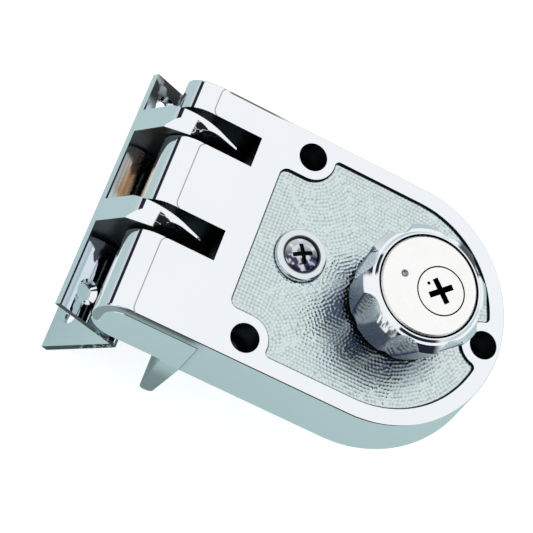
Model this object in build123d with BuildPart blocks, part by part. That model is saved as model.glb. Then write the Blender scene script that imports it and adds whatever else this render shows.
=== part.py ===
from build123d import *
from math import cos, pi, radians, sin, sqrt, tan
import os

os.makedirs("parts", exist_ok=True)

# Interlocking rim deadlock and its strike, in millimetres.
# The origin lies on the mounting face, on the knob's axis.
# X runs from the strike to the knob, Z runs up along the nose and the front faces -Y.
# A depth is a distance in front of the mounting face.

# Case
case_depth = 16.0
case_half_height = 36.2
draft_angle = 9.6
end_arc_x = -3.8
case_wall = 2.6
front_edge_radius = 0.6
seam_x = -45.0

# Nose, where the claws of the strike interlock
nose_axis_x = -64.6
nose_radius = 7.6
nose_parting_depth = case_depth - 11.0
window_right_x = -50.0
window_width = 8.8
upper_window_z = 20.8
lower_window_z = -7.4
window_floor_x = -53.0
window_floor = 1.5
parting_chamfer = 0.3

# Fine groove that bounds the flat of the front beside the nose
flat_left_x = -64.4
flat_corner_radius = 2.2
flat_overshoot = 0.4
flat_groove_width = 0.3
flat_groove_depth = 0.2

# Lip over the edge of the door
lip_length = 24.9
lip_root = 5.6
lip_tip = 3.8
seam_gap = 0.1
door_corner_relief = 0.3

# Sunk panel
panel_depth = 0.8
panel_left_x = -42.4
panel_half_height = 29.2
panel_corner_radius = 2.4
panel_notch_radius = 6.2
panel_notch_fillet = 1.4

# Mounting holes through the case
mount_hole_x = -35.5
mount_hole_z = 27.0
end_hole_x = 24.8
mount_screw_radius = 2.4
mount_head_radius = 3.85
mount_seat = 4.0
mount_post_radius = 5.6

# Screws of the bolt housing
housing_screw_x = -54.0
housing_screw_z = 31.0
housing_screw_radius = 1.2
housing_screw_head_radius = 2.1
housing_screw_head = 1.4
housing_screw_end_depth = case_depth - 1.0

# Back plate
plate_thickness = 2.0
plate_screw_length = 8.0
cylinder_opening_radius = 8.0
plate_screw_radius = 1.5
plate_boss_radius = 3.0
plate_boss_places = ((10.0, 24.0), (10.0, -24.0), (-18.0, 27.0), (-18.0, -27.0))

# Bolt
prong_radius = 3.25
prong_engagement = 3.9
prong_rest_gap = 0.3
prong_tip_chamfer = 0.8
bore_end_gap = 0.9
shank_radius = 1.7
arm_height = 3.9
carriage_thickness = 2.5
carriage_left_x = -44.7
carriage_bar_width = 3.3
carriage_body_right_x = -23.0
carriage_body_bottom_z = -7.6
carriage_body_top_z = 19.2
yoke_end_x = -5.2
yoke_wall = 2.05
slot_end_gap = 0.25

# Guide post and the screw in the panel
guide_x = -29.5
guide_post_radius = 3.5
guide_spigot_radius = 2.4
panel_screw_radius = 2.0
panel_screw_end_depth = 8.0
panel_head_radius = 4.65
panel_head_dome = 1.7
cross_length = 5.4
cross_width = 1.1
cross_depth = 1.0
cross_angle = 30.0
cup_radius = 6.9
cup_height = 1.8
cup_floor = 1.0
cup_edge_radius = 0.6
panel_head_edge = 0.4

# Knob
knob_face_depth = case_depth + 17.7
knob_rim_drop = 0.3
knob_base_depth = case_depth + 1.3
knob_base_radius = 15.0
knob_rim_radius = 17.3
knob_land_radius = 14.8
knob_bore_radius = 13.6
knob_floor = 2.7
knob_rim_chamfer = 0.4
collar_radius = 14.0
collar_step = 0.6
rim_flat_radius = 15.3
rim_bevel_run = 3.0
lobe_count = 8
lobe_phase = 21.0
scallop_radius = 5.5
scallop_lean = -0.3
neck_radius = 7.0
spindle_flange = 2.0
drive_square = 7.0
neck_back_depth = case_depth - 3.9
square_back_depth = case_depth - 5.6
knob_screw_radius = 1.2
knob_screw_head_radius = 2.0
knob_screw_head = 1.0
knob_screw_end_depth = case_depth + 2.0
knob_screw_places = ((-5.0, 8.0), (-5.0, -8.0))

# Bush of the knob
bush_radius = 11.4
bush_flange_radius = 13.2
bush_flange = 1.8
bush_ring_radius = 14.0
bush_ring_thickness = 1.0
pocket_radius = 9.3
pocket_start_angle = -55.0
pocket_sweep = 57.5

# Lock cylinder in the knob
cylinder_radius = 13.1
plug_offset = 3.25
plug_radius = 6.35
plug_back_depth = case_depth + 6.3
keyway_length = 7.0
keyway_width = 1.55
keyway_angle = 43.0
keyway_end_depth = case_depth + 8.0
dimple_x = -3.7
dimple_z = 0.5
dimple_radius = 0.45
dimple_depth = 1.0
pin_count = 4
pin_pitch = 2.1
pin_radius = 0.8
first_pin_depth = case_depth + 15.2
key_pin_inner = 1.7
key_pin_outer = plug_radius - 0.15
driver_pin_inner = plug_radius + 0.1
driver_pin_outer = 9.0
pin_cover_inner = 15.0
spring_wall = 0.25
face_pin_x = -7.2
face_pin_radius = 0.95
face_pin_drop = 0.25
face_pin_length = 1.2
face_pin_hollow_radius = 0.9
face_pin_hollow_depth = 0.45
shear_chamfer = 0.15
clip_radius = plug_radius + 1.15
clip_thickness = 0.7
clip_depth = case_depth + 6.55
clip_groove = 0.85

# Tail of the plug and the cam that locks the knob
tail_radius = 1.6
tail_tip_radius = 1.1
cam_ring_radius = 2.2
cam_reach = 5.5
cam_width = 2.6
cam_back_depth = case_depth - 1.6
cam_thickness = 1.8
cam_side_gap = 0.2
cam_rest_angle = 250.0
cam_slot_radius = 6.0
cam_slot_margin = 40.0
cam_screw_radius = 0.6
cam_screw_head_radius = 1.7
cam_screw_head = 1.0
cam_screw_length = 2.0
cam_pocket_depth = case_depth - 3.1
key_turn = 90.0

# Hub behind the knob
hub_radius = 8.0
hub_thickness = 2.0
hub_pocket_depth = case_depth - 5.8
hub_web_depth = case_depth - 7.3
hub_sleeve_radius = 4.6
hub_sleeve_end = 3.2
hub_bore_radius = 2.7
hub_screw_radius = 1.2
hub_screw_head_radius = 2.5
hub_screw_head = 1.5
hub_screw_end_depth = case_depth - 2.4
crank_angle = 135.0
crank_ear_radius = 3.2
crank_pin_radius = 1.6
crank_pin_end = case_depth - 9.4
crank_roller_radius = 3.0
roller_play = 0.35
tailpiece_length = 6.9
tailpiece_width = 2.0
tailpiece_depth = 8.0
hub_turn = 90.0

# Detent spring and the notches of the hub
spring_x = 8.6
spring_thickness = 0.5
spring_width = 1.6
spring_back_depth = case_depth - 5.7
spring_top_z = 5.0
spring_bottom_z = -19.0
spring_bump = 1.0
spring_bump_half = 2.4
spring_boss_wall = 1.25
spring_boss_top_z = -12.0
detent_notch_radius = 2.4
detent_notch_depth = 0.75

# Strike
strike_angle = 28.0
strike_half_height = 35.0
strike_thickness = 2.0
face_flange_front = 11.2
face_flange_left = -11.2
strike_corner_x = 11.1
edge_flange_end = 40.8
claw_crown_x = -1.1
claw_crown_radius = 10.1
claw_tip = (8.2, -9.7)
claw_root_x = 7.0
claw_width = window_width - 2.2
upper_claw_z = 20.1
lower_claw_z = -7.4
# Each bevel: side of the claw, way it falls, distance of its edge from the prong's axis, slope
claw_bevels = ((1, -72.0, -4.0, 12.1), (-1, -136.8, 8.17, 51.3), (-1, -81.0, 4.25, 24.4))
claw_bevel_reach = 18.0
strike_outer_bend = 2.5
strike_screw_radius = 2.2
strike_head_radius = 3.3
face_screw_x = -5.0
face_screw_z = 28.0
edge_screw_y = 33.9
edge_screw_z = 26.0

# Clearances
fit_gap = 0.05
running_gap = 0.06
free_gap = 0.3
claw_eye_gap = 0.35
plate_hole_gap = 0.1
overrun = 5.0

# Places that follow from the sizes above
case_front_half_height = case_half_height - case_depth * tan(radians(draft_angle))
nose_axis_depth = case_depth - nose_radius
inner_depth = case_depth - case_wall
panel_front = case_depth - panel_depth
nose_back_depth = nose_axis_depth - nose_radius
window_places = (upper_window_z, lower_window_z)
claw_places = (upper_claw_z, lower_claw_z)
housing_screw_places = ((housing_screw_x, housing_screw_z), (housing_screw_x, -housing_screw_z))
mount_hole_places = ((mount_hole_x, mount_hole_z), (mount_hole_x, -mount_hole_z), (end_hole_x, 0))
prong_bore_radius = prong_radius + running_gap
arm_window_gap = 0.2
prong_length = window_width + prong_engagement + arm_window_gap
bolt_travel = window_width + prong_engagement + prong_rest_gap
crank_radius = bolt_travel / 2 / sin(radians(hub_turn / 2))
crank_offset = bolt_travel / 2
crank_x = -crank_radius * cos(radians(hub_turn / 2))
crank_place = (crank_x, crank_offset)
carriage_back = nose_axis_depth - carriage_thickness / 2
cam_front_depth = cam_back_depth + cam_thickness
cam_slot_back = cam_back_depth - cam_side_gap
cam_slot_height = cam_thickness + 2 * cam_side_gap
bush_front = panel_front + bush_flange
bush_back = inner_depth - bush_ring_thickness
knob_floor_front = knob_base_depth + knob_floor
spindle_front = knob_floor_front + spindle_flange
knob_rim_front = knob_face_depth - knob_rim_drop
hub_back = neck_back_depth - hub_thickness
lip_left_x = seam_x - lip_root
knob_back_depth = knob_base_depth - fit_gap
face_pin_front = knob_face_depth - face_pin_drop
face_pin_back = face_pin_front - face_pin_length
flat_stretches = ((-case_front_half_height, window_places[1] - window_width / 2),
                  (window_places[1] + window_width / 2, window_places[0] - window_width / 2),
                  (window_places[0] + window_width / 2, case_front_half_height))
strike_heading = radians(strike_angle)
strike_plane = Plane(origin=(nose_axis_x, -nose_axis_depth, 0),
                     x_dir=(cos(strike_heading), sin(strike_heading), 0), z_dir=(0, 0, 1))


def front(depth):
    """Plane parallel to the mounting face, facing the front, with X to the right and Z up."""
    return Plane.XZ.offset(depth)


def case_outline(depth, inset=0.0, left=nose_axis_x - 2 * nose_radius):
    """D-shaped outline of the case at a depth, smaller towards the front by the draft."""
    half_height = case_half_height - inset - depth * tan(radians(draft_angle))
    with BuildSketch(front(depth)) as outline:
        with Locations((end_arc_x, 0)):
            Circle(half_height)
        with Locations(((left + end_arc_x) / 2, 0)):
            Rectangle(end_arc_x - left, 2 * half_height)
        with Locations((left, 0)):
            Rectangle(2 * case_half_height, 3 * case_half_height, align=(Align.MAX, Align.CENTER),
                      mode=Mode.SUBTRACT)
    return outline.sketch


def discs(depth, radius, *places):
    """Circles of one radius at a depth, on the knob's axis where no place is given."""
    with BuildSketch(front(depth)) as outline:
        with Locations(*(places or ((0, 0),))):
            Circle(radius)
    return outline.sketch


def oblong(depth, left, right, bottom, top):
    """Rectangle at a depth, given by its four sides."""
    with BuildSketch(front(depth)) as outline:
        with Locations(((left + right) / 2, (bottom + top) / 2)):
            Rectangle(right - left, top - bottom)
    return outline.sketch


def slice_of_disc(depth, radius, start_angle, sweep, centre_x=0.0):
    """Slice of a disc at a depth, about a point on the X axis."""
    with BuildSketch(front(depth)) as outline:
        with BuildLine():
            rim = CenterArc((centre_x, 0), radius, start_angle, sweep)
            Polyline(rim @ 1, (centre_x, 0), rim @ 0)
        make_face()
    return outline.sketch


def nose_disc(height, radius):
    """Circle about the nose's axis at a height."""
    with BuildSketch(Plane.XY.offset(height)) as outline:
        with Locations((nose_axis_x, -nose_axis_depth)):
            Circle(radius)
    return outline.sketch


def pin_discs(distance, radius):
    """Circles of the pin row, at a distance from the plug's axis towards the nose."""
    with BuildSketch(Plane.YZ.offset(plug_offset - distance)) as outline:
        for pin in range(pin_count):
            with Locations((pin * pin_pitch - first_pin_depth, 0)):
                Circle(radius)
    return outline.sketch


def window_bottom(window_z):
    """Lower edge of a window."""
    return window_z - window_width / 2


def arm_top(window_z):
    """Upper face of the carriage's arm, just below its window with the bolt thrown."""
    return window_bottom(window_z) - arm_window_gap


def windows(depth, right_x):
    """The two windows that the claws enter, open on the left."""
    window_left = nose_axis_x - 2 * nose_radius
    with BuildSketch(front(depth)) as outline:
        for window_z in window_places:
            with Locations(((window_left + right_x) / 2, window_z)):
                Rectangle(right_x - window_left, window_width)
    return outline.sketch


# Case cover: a drafted D-shaped shell whose left end rolls round into the nose
with BuildPart() as case_cover:
    loft([case_outline(0), case_outline(case_depth)], ruled=True)
    with BuildSketch(Plane.XY.offset(-case_half_height - overrun)) as nose_section:
        with Locations((nose_axis_x, -nose_axis_depth)):
            Circle(nose_radius)
        with Locations(((nose_axis_x + seam_x) / 2, -nose_axis_depth)):
            Rectangle(seam_x - nose_axis_x, 2 * nose_radius)
        with Locations((seam_x, -case_depth)):
            Rectangle(2 * case_half_height + end_arc_x - seam_x, case_depth, align=(Align.MIN, Align.MIN))
    extrude(amount=2 * (case_half_height + overrun), mode=Mode.INTERSECT)
    front_rim = case_cover.faces().sort_by(Axis.Y)[0].edges().filter_by(Axis.Z, reverse=True)
    fillet(front_rim, front_edge_radius)

    # Hollow behind the front, which leaves the side walls to the right of the seam
    loft([case_outline(-fit_gap, case_wall, seam_x), case_outline(inner_depth, case_wall, seam_x)],
         ruled=True, mode=Mode.SUBTRACT)
    # Hollow of the nose, open at the back and at both ends
    with BuildSketch(Plane.XY.offset(-case_half_height - overrun)) as nose_hollow:
        with Locations((nose_axis_x, -nose_axis_depth)):
            Circle(nose_radius - case_wall)
            Rectangle(nose_radius - case_wall, nose_axis_depth + overrun, align=(Align.MAX, Align.MIN))
        with Locations((nose_axis_x, -inner_depth)):
            Rectangle(seam_x - nose_axis_x, inner_depth + overrun, align=(Align.MIN, Align.MIN))
        with Locations((nose_axis_x, -nose_parting_depth)):
            Rectangle(2 * nose_radius, nose_parting_depth + overrun, align=(Align.MAX, Align.MIN))
    extrude(amount=2 * (case_half_height + overrun), mode=Mode.SUBTRACT)

    # Posts of the mounting screws, bosses of the plate screws and the boss of the spring
    extrude(discs(0, mount_post_radius, *mount_hole_places), amount=inner_depth + case_wall / 4)
    extrude(discs(plate_thickness, plate_boss_radius, *plate_boss_places),
            amount=inner_depth - plate_thickness + case_wall / 4)
    extrude(oblong(spring_back_depth, spring_x - spring_boss_wall,
                   spring_x + spring_thickness + spring_boss_wall,
                   spring_bottom_z - spring_boss_wall, spring_boss_top_z),
            amount=inner_depth - spring_back_depth + case_wall / 4)
    extrude(oblong(spring_back_depth - fit_gap, spring_x - fit_gap, spring_x + spring_thickness + fit_gap,
                   spring_bottom_z - fit_gap, spring_boss_top_z + fit_gap),
            amount=inner_depth - spring_back_depth, mode=Mode.SUBTRACT)

    # Sunk panel, which follows the outline and steps round the three mounting holes
    with BuildSketch(front(panel_front)) as panel:
        with Locations((panel_left_x, 0)):
            Rectangle(end_arc_x - panel_left_x, 2 * panel_half_height, align=(Align.MIN, Align.CENTER))
        with Locations((mount_hole_x, mount_hole_z), (mount_hole_x, -mount_hole_z)):
            Circle(panel_notch_radius, mode=Mode.SUBTRACT)
        with Locations((mount_hole_x, mount_hole_z - panel_notch_radius)):
            Rectangle(case_depth, case_half_height, align=(Align.MAX, Align.MIN), mode=Mode.SUBTRACT)
        with Locations((mount_hole_x, panel_notch_radius - mount_hole_z)):
            Rectangle(case_depth, case_half_height, align=(Align.MAX, Align.MAX), mode=Mode.SUBTRACT)
        fillet(panel.vertices().group_by(Axis.X)[0], panel_corner_radius)
        fillet(panel.vertices().group_by(Axis.Y)[-1].sort_by(Axis.X)[0], panel_notch_fillet)
        fillet(panel.vertices().group_by(Axis.Y)[0].sort_by(Axis.X)[0], panel_notch_fillet)
        with Locations((end_arc_x, 0)):
            Circle(panel_half_height)
        with Locations((end_hole_x, 0)):
            Circle(panel_notch_radius, mode=Mode.SUBTRACT)
        fillet(panel.vertices().sort_by(Axis.X)[-2:], panel_notch_fillet)
    extrude(amount=panel_depth + overrun, mode=Mode.SUBTRACT)

    # Counterbored mounting holes
    extrude(discs(mount_seat, mount_head_radius, *mount_hole_places), amount=case_depth, mode=Mode.SUBTRACT)
    extrude(discs(-fit_gap, mount_screw_radius, *mount_hole_places), amount=case_depth, mode=Mode.SUBTRACT)

    # Holes of the bush, the panel screw, the plate screws and the housing screws
    extrude(discs(inner_depth - fit_gap, bush_radius + fit_gap),
            amount=case_wall + overrun, mode=Mode.SUBTRACT)
    extrude(discs(inner_depth - fit_gap, panel_screw_radius + free_gap, (guide_x, 0)),
            amount=case_wall + overrun, mode=Mode.SUBTRACT)
    extrude(discs(plate_thickness - fit_gap, plate_screw_radius + fit_gap, *plate_boss_places),
            amount=plate_screw_length, mode=Mode.SUBTRACT)
    extrude(discs(inner_depth - fit_gap, housing_screw_radius + fit_gap, *housing_screw_places),
            amount=housing_screw_end_depth - inner_depth + 2 * fit_gap, mode=Mode.SUBTRACT)

    # Fine groove round the left corners of the flat, in its three stretches beside the windows
    with BuildSketch(front(case_depth - flat_groove_depth)) as flat_groove:
        for bottom, top in flat_stretches:
            flat_height = top - bottom + 2 * flat_overshoot
            with Locations((flat_left_x + case_depth / 2, (bottom + top) / 2)):
                RectangleRounded(case_depth, flat_height, flat_corner_radius)
                RectangleRounded(case_depth - 2 * flat_groove_width, flat_height - 2 * flat_groove_width,
                                 flat_corner_radius - flat_groove_width, mode=Mode.SUBTRACT)
        with Locations((flat_left_x + flat_corner_radius, 0)):
            Rectangle(case_depth, 3 * case_half_height, align=(Align.MIN, Align.CENTER), mode=Mode.SUBTRACT)
    extrude(amount=flat_groove_depth + overrun, mode=Mode.SUBTRACT)

    # Windows through the nose
    extrude(windows(-fit_gap, window_right_x), amount=case_depth + overrun, mode=Mode.SUBTRACT)
case_cover.part.label = "case_cover"
export_step(case_cover.part, "parts/case_cover.step")


# Bolt housing: core of the nose with three knuckles, and the lip over the edge of the door
with BuildPart() as bolt_housing:
    with BuildSketch(Plane.XY.offset(-case_half_height)) as housing_section:
        with BuildLine():
            core_bend = ThreePointArc(
                (nose_axis_x, -inner_depth),
                (nose_axis_x - (nose_radius - case_wall) * cos(pi / 4),
                 -nose_axis_depth - (nose_radius - case_wall) * sin(pi / 4)),
                (nose_axis_x - (nose_radius - case_wall), -nose_axis_depth))
            parting_x = sqrt(nose_radius ** 2 - (nose_axis_depth - nose_parting_depth) ** 2)
            parting = Polyline(core_bend @ 1, (nose_axis_x - (nose_radius - case_wall), -nose_parting_depth),
                               (nose_axis_x - parting_x, -nose_parting_depth))
            back_bend = ThreePointArc(
                parting @ 1,
                (nose_axis_x - nose_radius * cos(pi / 4), nose_radius * sin(pi / 4) - nose_axis_depth),
                (nose_axis_x, -nose_back_depth))
            lip_side = Polyline(back_bend @ 1, (lip_left_x, -nose_back_depth),
                                (seam_x - lip_tip, lip_length - lip_tip / 2))
            lip_end = ThreePointArc(lip_side @ 1, (seam_x - lip_tip / 2, lip_length),
                                    (seam_x, lip_length - lip_tip / 2))
            Polyline(lip_end @ 1, (seam_x, -inner_depth), core_bend @ 0)
        make_face()
    extrude(amount=2 * case_half_height)

    # The ends follow the draft of the case in front of the mounting face
    with BuildSketch(Plane.YZ.offset(seam_x)) as end_draft:
        with BuildLine():
            Polyline((0, case_half_height), (-case_depth, case_front_half_height),
                     (-case_depth, -case_front_half_height), (0, -case_half_height),
                     (lip_length, -case_half_height), (lip_length, case_half_height), close=True)
        make_face()
    extrude(amount=nose_axis_x - 2 * nose_radius, mode=Mode.INTERSECT)

    # Chamfer along the shell at both ends, which shows as a line round the core
    core_edges = bolt_housing.edges().filter_by_position(Axis.Y, -case_depth, -nose_parting_depth - fit_gap)
    parted_edges = core_edges.filter_by_position(Axis.X, nose_axis_x - nose_radius, seam_x - parting_chamfer)
    chamfer([edge for edge in parted_edges if abs(edge.center().Z) > nose_radius], parting_chamfer)

    # Relief for the corner of the door, which leaves the lip as a face of its own
    extrude(oblong(-door_corner_relief, seam_x - seam_gap, seam_x + fit_gap,
                   -case_half_height - overrun, case_half_height + overrun),
            amount=case_depth, mode=Mode.SUBTRACT)

    # Windows with a floor beside the web, and the bores and slots of the prongs and their arms
    extrude(windows(-fit_gap, window_floor_x), amount=case_depth, mode=Mode.SUBTRACT)
    extrude(windows(nose_back_depth + window_floor, window_right_x), amount=case_depth, mode=Mode.SUBTRACT)
    for window_z in window_places:
        stowed_arm_bottom = arm_top(window_z) - arm_height - bolt_travel - free_gap
        slot_height = window_bottom(window_z) - stowed_arm_bottom
        extrude(nose_disc(stowed_arm_bottom, prong_bore_radius), amount=slot_height, mode=Mode.SUBTRACT)
        extrude(oblong(carriage_back - free_gap, nose_axis_x, seam_x + fit_gap,
                       stowed_arm_bottom, window_bottom(window_z)),
                amount=carriage_thickness + 2 * free_gap, mode=Mode.SUBTRACT)
        extrude(nose_disc(window_bottom(window_z) + window_width, prong_bore_radius),
                amount=prong_engagement + bore_end_gap, mode=Mode.SUBTRACT)

    # Counterbored holes of the housing screws
    extrude(discs(nose_back_depth - fit_gap, housing_screw_radius + fit_gap, *housing_screw_places),
            amount=inner_depth, mode=Mode.SUBTRACT)
    extrude(discs(nose_back_depth - fit_gap, housing_screw_head_radius + fit_gap, *housing_screw_places),
            amount=housing_screw_head + fit_gap, mode=Mode.SUBTRACT)
bolt_housing.part.label = "bolt_housing"
export_step(bolt_housing.part, "parts/bolt_housing.step")


# Housing screws, driven in from the back
with BuildPart() as housing_screws:
    extrude(discs(nose_back_depth, housing_screw_head_radius, *housing_screw_places),
            amount=housing_screw_head)
    extrude(discs(nose_back_depth, housing_screw_radius, *housing_screw_places),
            amount=housing_screw_end_depth - nose_back_depth)
housing_screws.part.label = "housing_screws"
export_step(housing_screws.part, "parts/housing_screws.step")


# Back plate, let in between the walls and flush with the mounting face
with BuildPart() as back_plate:
    extrude(case_outline(plate_thickness, case_wall + fit_gap, seam_x + fit_gap), amount=-plate_thickness)
    extrude(discs(-fit_gap, mount_post_radius + plate_hole_gap, *mount_hole_places),
            amount=case_depth, mode=Mode.SUBTRACT)
    extrude(discs(-fit_gap, cylinder_opening_radius), amount=case_depth, mode=Mode.SUBTRACT)
    extrude(discs(-fit_gap, guide_spigot_radius + fit_gap, (guide_x, 0)),
            amount=case_depth, mode=Mode.SUBTRACT)
    extrude(discs(-fit_gap, plate_screw_radius + fit_gap, *plate_boss_places),
            amount=case_depth, mode=Mode.SUBTRACT)
back_plate.part.label = "back_plate"
export_step(back_plate.part, "parts/back_plate.step")


# Screws of the back plate, flush with it
with BuildPart() as back_plate_screws:
    extrude(discs(0, plate_screw_radius, *plate_boss_places), amount=plate_screw_length)
back_plate_screws.part.label = "back_plate_screws"
export_step(back_plate_screws.part, "parts/back_plate_screws.step")


# Guide post between the front and the back plate, tapped for the panel screw
with BuildPart() as guide_post:
    extrude(discs(plate_thickness, guide_post_radius, (guide_x, 0)), amount=inner_depth - plate_thickness)
    extrude(discs(0, guide_spigot_radius, (guide_x, 0)), amount=plate_thickness)
    extrude(discs(panel_screw_end_depth - free_gap, panel_screw_radius + fit_gap, (guide_x, 0)),
            amount=case_depth, mode=Mode.SUBTRACT)
guide_post.part.label = "guide_post"
export_step(guide_post.part, "parts/guide_post.step")


# Cup under the head of the panel screw
with BuildPart() as panel_screw_cup:
    extrude(discs(panel_front, cup_radius, (guide_x, 0)), amount=cup_height)
    fillet(panel_screw_cup.edges().sort_by(Axis.Y)[0], cup_edge_radius)
    extrude(discs(panel_front + cup_floor, panel_head_radius + plate_hole_gap, (guide_x, 0)),
            amount=cup_height, mode=Mode.SUBTRACT)
    extrude(discs(panel_front - fit_gap, panel_screw_radius + free_gap, (guide_x, 0)),
            amount=case_depth, mode=Mode.SUBTRACT)
panel_screw_cup.part.label = "panel_screw_cup"
export_step(panel_screw_cup.part, "parts/panel_screw_cup.step")


# Panel screw with a domed head and a cross recess
with BuildPart() as panel_screw:
    with BuildSketch(Plane.XY) as head_section:
        with BuildLine():
            dome_rise = panel_head_dome - panel_head_edge
            dome_radius = (panel_head_radius ** 2 + dome_rise ** 2) / (2 * dome_rise)
            head_base = panel_front + cup_floor
            dome = RadiusArc((guide_x + panel_head_radius, -head_base - panel_head_edge),
                             (guide_x, -head_base - panel_head_dome), dome_radius)
            Polyline(dome @ 1, (guide_x, -head_base), (guide_x + panel_head_radius, -head_base), dome @ 0)
        make_face()
    revolve(axis=Axis((guide_x, 0, 0), (0, 1, 0)))
    extrude(discs(panel_screw_end_depth, panel_screw_radius, (guide_x, 0)),
            amount=panel_front + cup_floor - panel_screw_end_depth)
    with BuildSketch(front(panel_front + cup_floor + panel_head_dome - cross_depth)) as cross:
        with Locations((guide_x, 0)):
            Rectangle(cross_length, cross_width, rotation=cross_angle)
            Rectangle(cross_width, cross_length, rotation=cross_angle)
    extrude(amount=panel_head_dome, mode=Mode.SUBTRACT)
panel_screw.part.label = "panel_screw"
export_step(panel_screw.part, "parts/panel_screw.step")


# Bush that the knob turns in, with two pockets for the cam
with BuildPart() as knob_bush:
    extrude(discs(bush_back, bush_radius), amount=bush_front - bush_back)
    extrude(discs(panel_front, bush_flange_radius), amount=bush_flange)
    extrude(discs(bush_back - fit_gap, neck_radius + running_gap), amount=case_depth, mode=Mode.SUBTRACT)
    for knob_angle in (0, hub_turn):
        extrude(slice_of_disc(cam_slot_back, pocket_radius, pocket_start_angle + knob_angle, pocket_sweep),
                amount=cam_slot_height, mode=Mode.SUBTRACT)
knob_bush.part.label = "knob_bush"
export_step(knob_bush.part, "parts/knob_bush.step")


# Ring that holds the bush from inside the case
with BuildPart() as bush_ring:
    extrude(discs(bush_back, bush_ring_radius), amount=bush_ring_thickness)
    extrude(discs(bush_back - fit_gap, bush_radius + fit_gap), amount=case_depth, mode=Mode.SUBTRACT)
bush_ring.part.label = "bush_ring"
export_step(bush_ring.part, "parts/bush_ring.step")


# Detent spring: a strip with one bump that rests in a notch of the hub
with BuildPart() as detent_spring:
    with BuildSketch(front(spring_back_depth)) as spring_strip:
        with BuildLine():
            Polyline((spring_x, spring_bottom_z), (spring_x, -spring_bump_half), (spring_x - spring_bump, 0),
                     (spring_x, spring_bump_half), (spring_x, spring_top_z),
                     (spring_x + spring_thickness, spring_top_z),
                     (spring_x + spring_thickness, spring_bump_half),
                     (spring_x + spring_thickness - spring_bump, 0),
                     (spring_x + spring_thickness, -spring_bump_half),
                     (spring_x + spring_thickness, spring_bottom_z), close=True)
        make_face()
    extrude(amount=spring_width)
detent_spring.part.label = "detent_spring"
export_step(detent_spring.part, "parts/detent_spring.step")


# Bolt carriage: plate with a guide slot, a yoke for the crank and one arm for each prong
with BuildPart() as bolt_carriage:
    bar_right_x = carriage_left_x + carriage_bar_width
    yoke_half_height = crank_roller_radius + roller_play
    extrude(oblong(carriage_back, carriage_left_x, bar_right_x,
                   arm_top(lower_window_z) - arm_height, arm_top(upper_window_z)), amount=carriage_thickness)
    extrude(oblong(carriage_back, bar_right_x, carriage_body_right_x,
                   carriage_body_bottom_z, carriage_body_top_z), amount=carriage_thickness)
    extrude(oblong(carriage_back, carriage_body_right_x, yoke_end_x,
                   crank_offset - yoke_half_height - yoke_wall, crank_offset + yoke_half_height + yoke_wall),
            amount=carriage_thickness)
    for window_z in window_places:
        extrude(oblong(carriage_back, nose_axis_x, carriage_left_x,
                       arm_top(window_z) - arm_height, arm_top(window_z)), amount=carriage_thickness)
        extrude(nose_disc(arm_top(window_z) - arm_height, prong_radius - fit_gap), amount=arm_height)
        extrude(nose_disc(arm_top(window_z) - arm_height - fit_gap, shank_radius + fit_gap),
                amount=arm_height + 2 * fit_gap, mode=Mode.SUBTRACT)

    # Guide slot as long as the travel, and the slot of the yoke
    guide_slot_end = guide_post_radius + slot_end_gap
    extrude(oblong(carriage_back, guide_x - guide_post_radius - fit_gap,
                   guide_x + guide_post_radius + fit_gap, -guide_slot_end, bolt_travel + guide_slot_end),
            amount=carriage_thickness, mode=Mode.SUBTRACT)
    extrude(oblong(carriage_back, -crank_radius - crank_roller_radius - free_gap, yoke_end_x,
                   crank_offset - yoke_half_height, crank_offset + yoke_half_height),
            amount=carriage_thickness, mode=Mode.SUBTRACT)
bolt_carriage.part.label = "bolt_carriage"
export_step(bolt_carriage.part, "parts/bolt_carriage.step")


# Upper prong, thrown through the upper window into the knuckle above it
with BuildPart() as upper_prong:
    extrude(nose_disc(arm_top(upper_window_z), prong_radius), amount=prong_length)
    chamfer(upper_prong.edges().sort_by(Axis.Z)[-1], prong_tip_chamfer)
    extrude(nose_disc(arm_top(upper_window_z) - arm_height, shank_radius), amount=arm_height)
upper_prong.part.label = "upper_prong"
export_step(upper_prong.part, "parts/upper_prong.step")


# Lower prong, thrown through the lower window into the knuckle above it
with BuildPart() as lower_prong:
    extrude(nose_disc(arm_top(lower_window_z), prong_radius), amount=prong_length)
    chamfer(lower_prong.edges().sort_by(Axis.Z)[-1], prong_tip_chamfer)
    extrude(nose_disc(arm_top(lower_window_z) - arm_height, shank_radius), amount=arm_height)
lower_prong.part.label = "lower_prong"
export_step(lower_prong.part, "parts/lower_prong.step")


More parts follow.
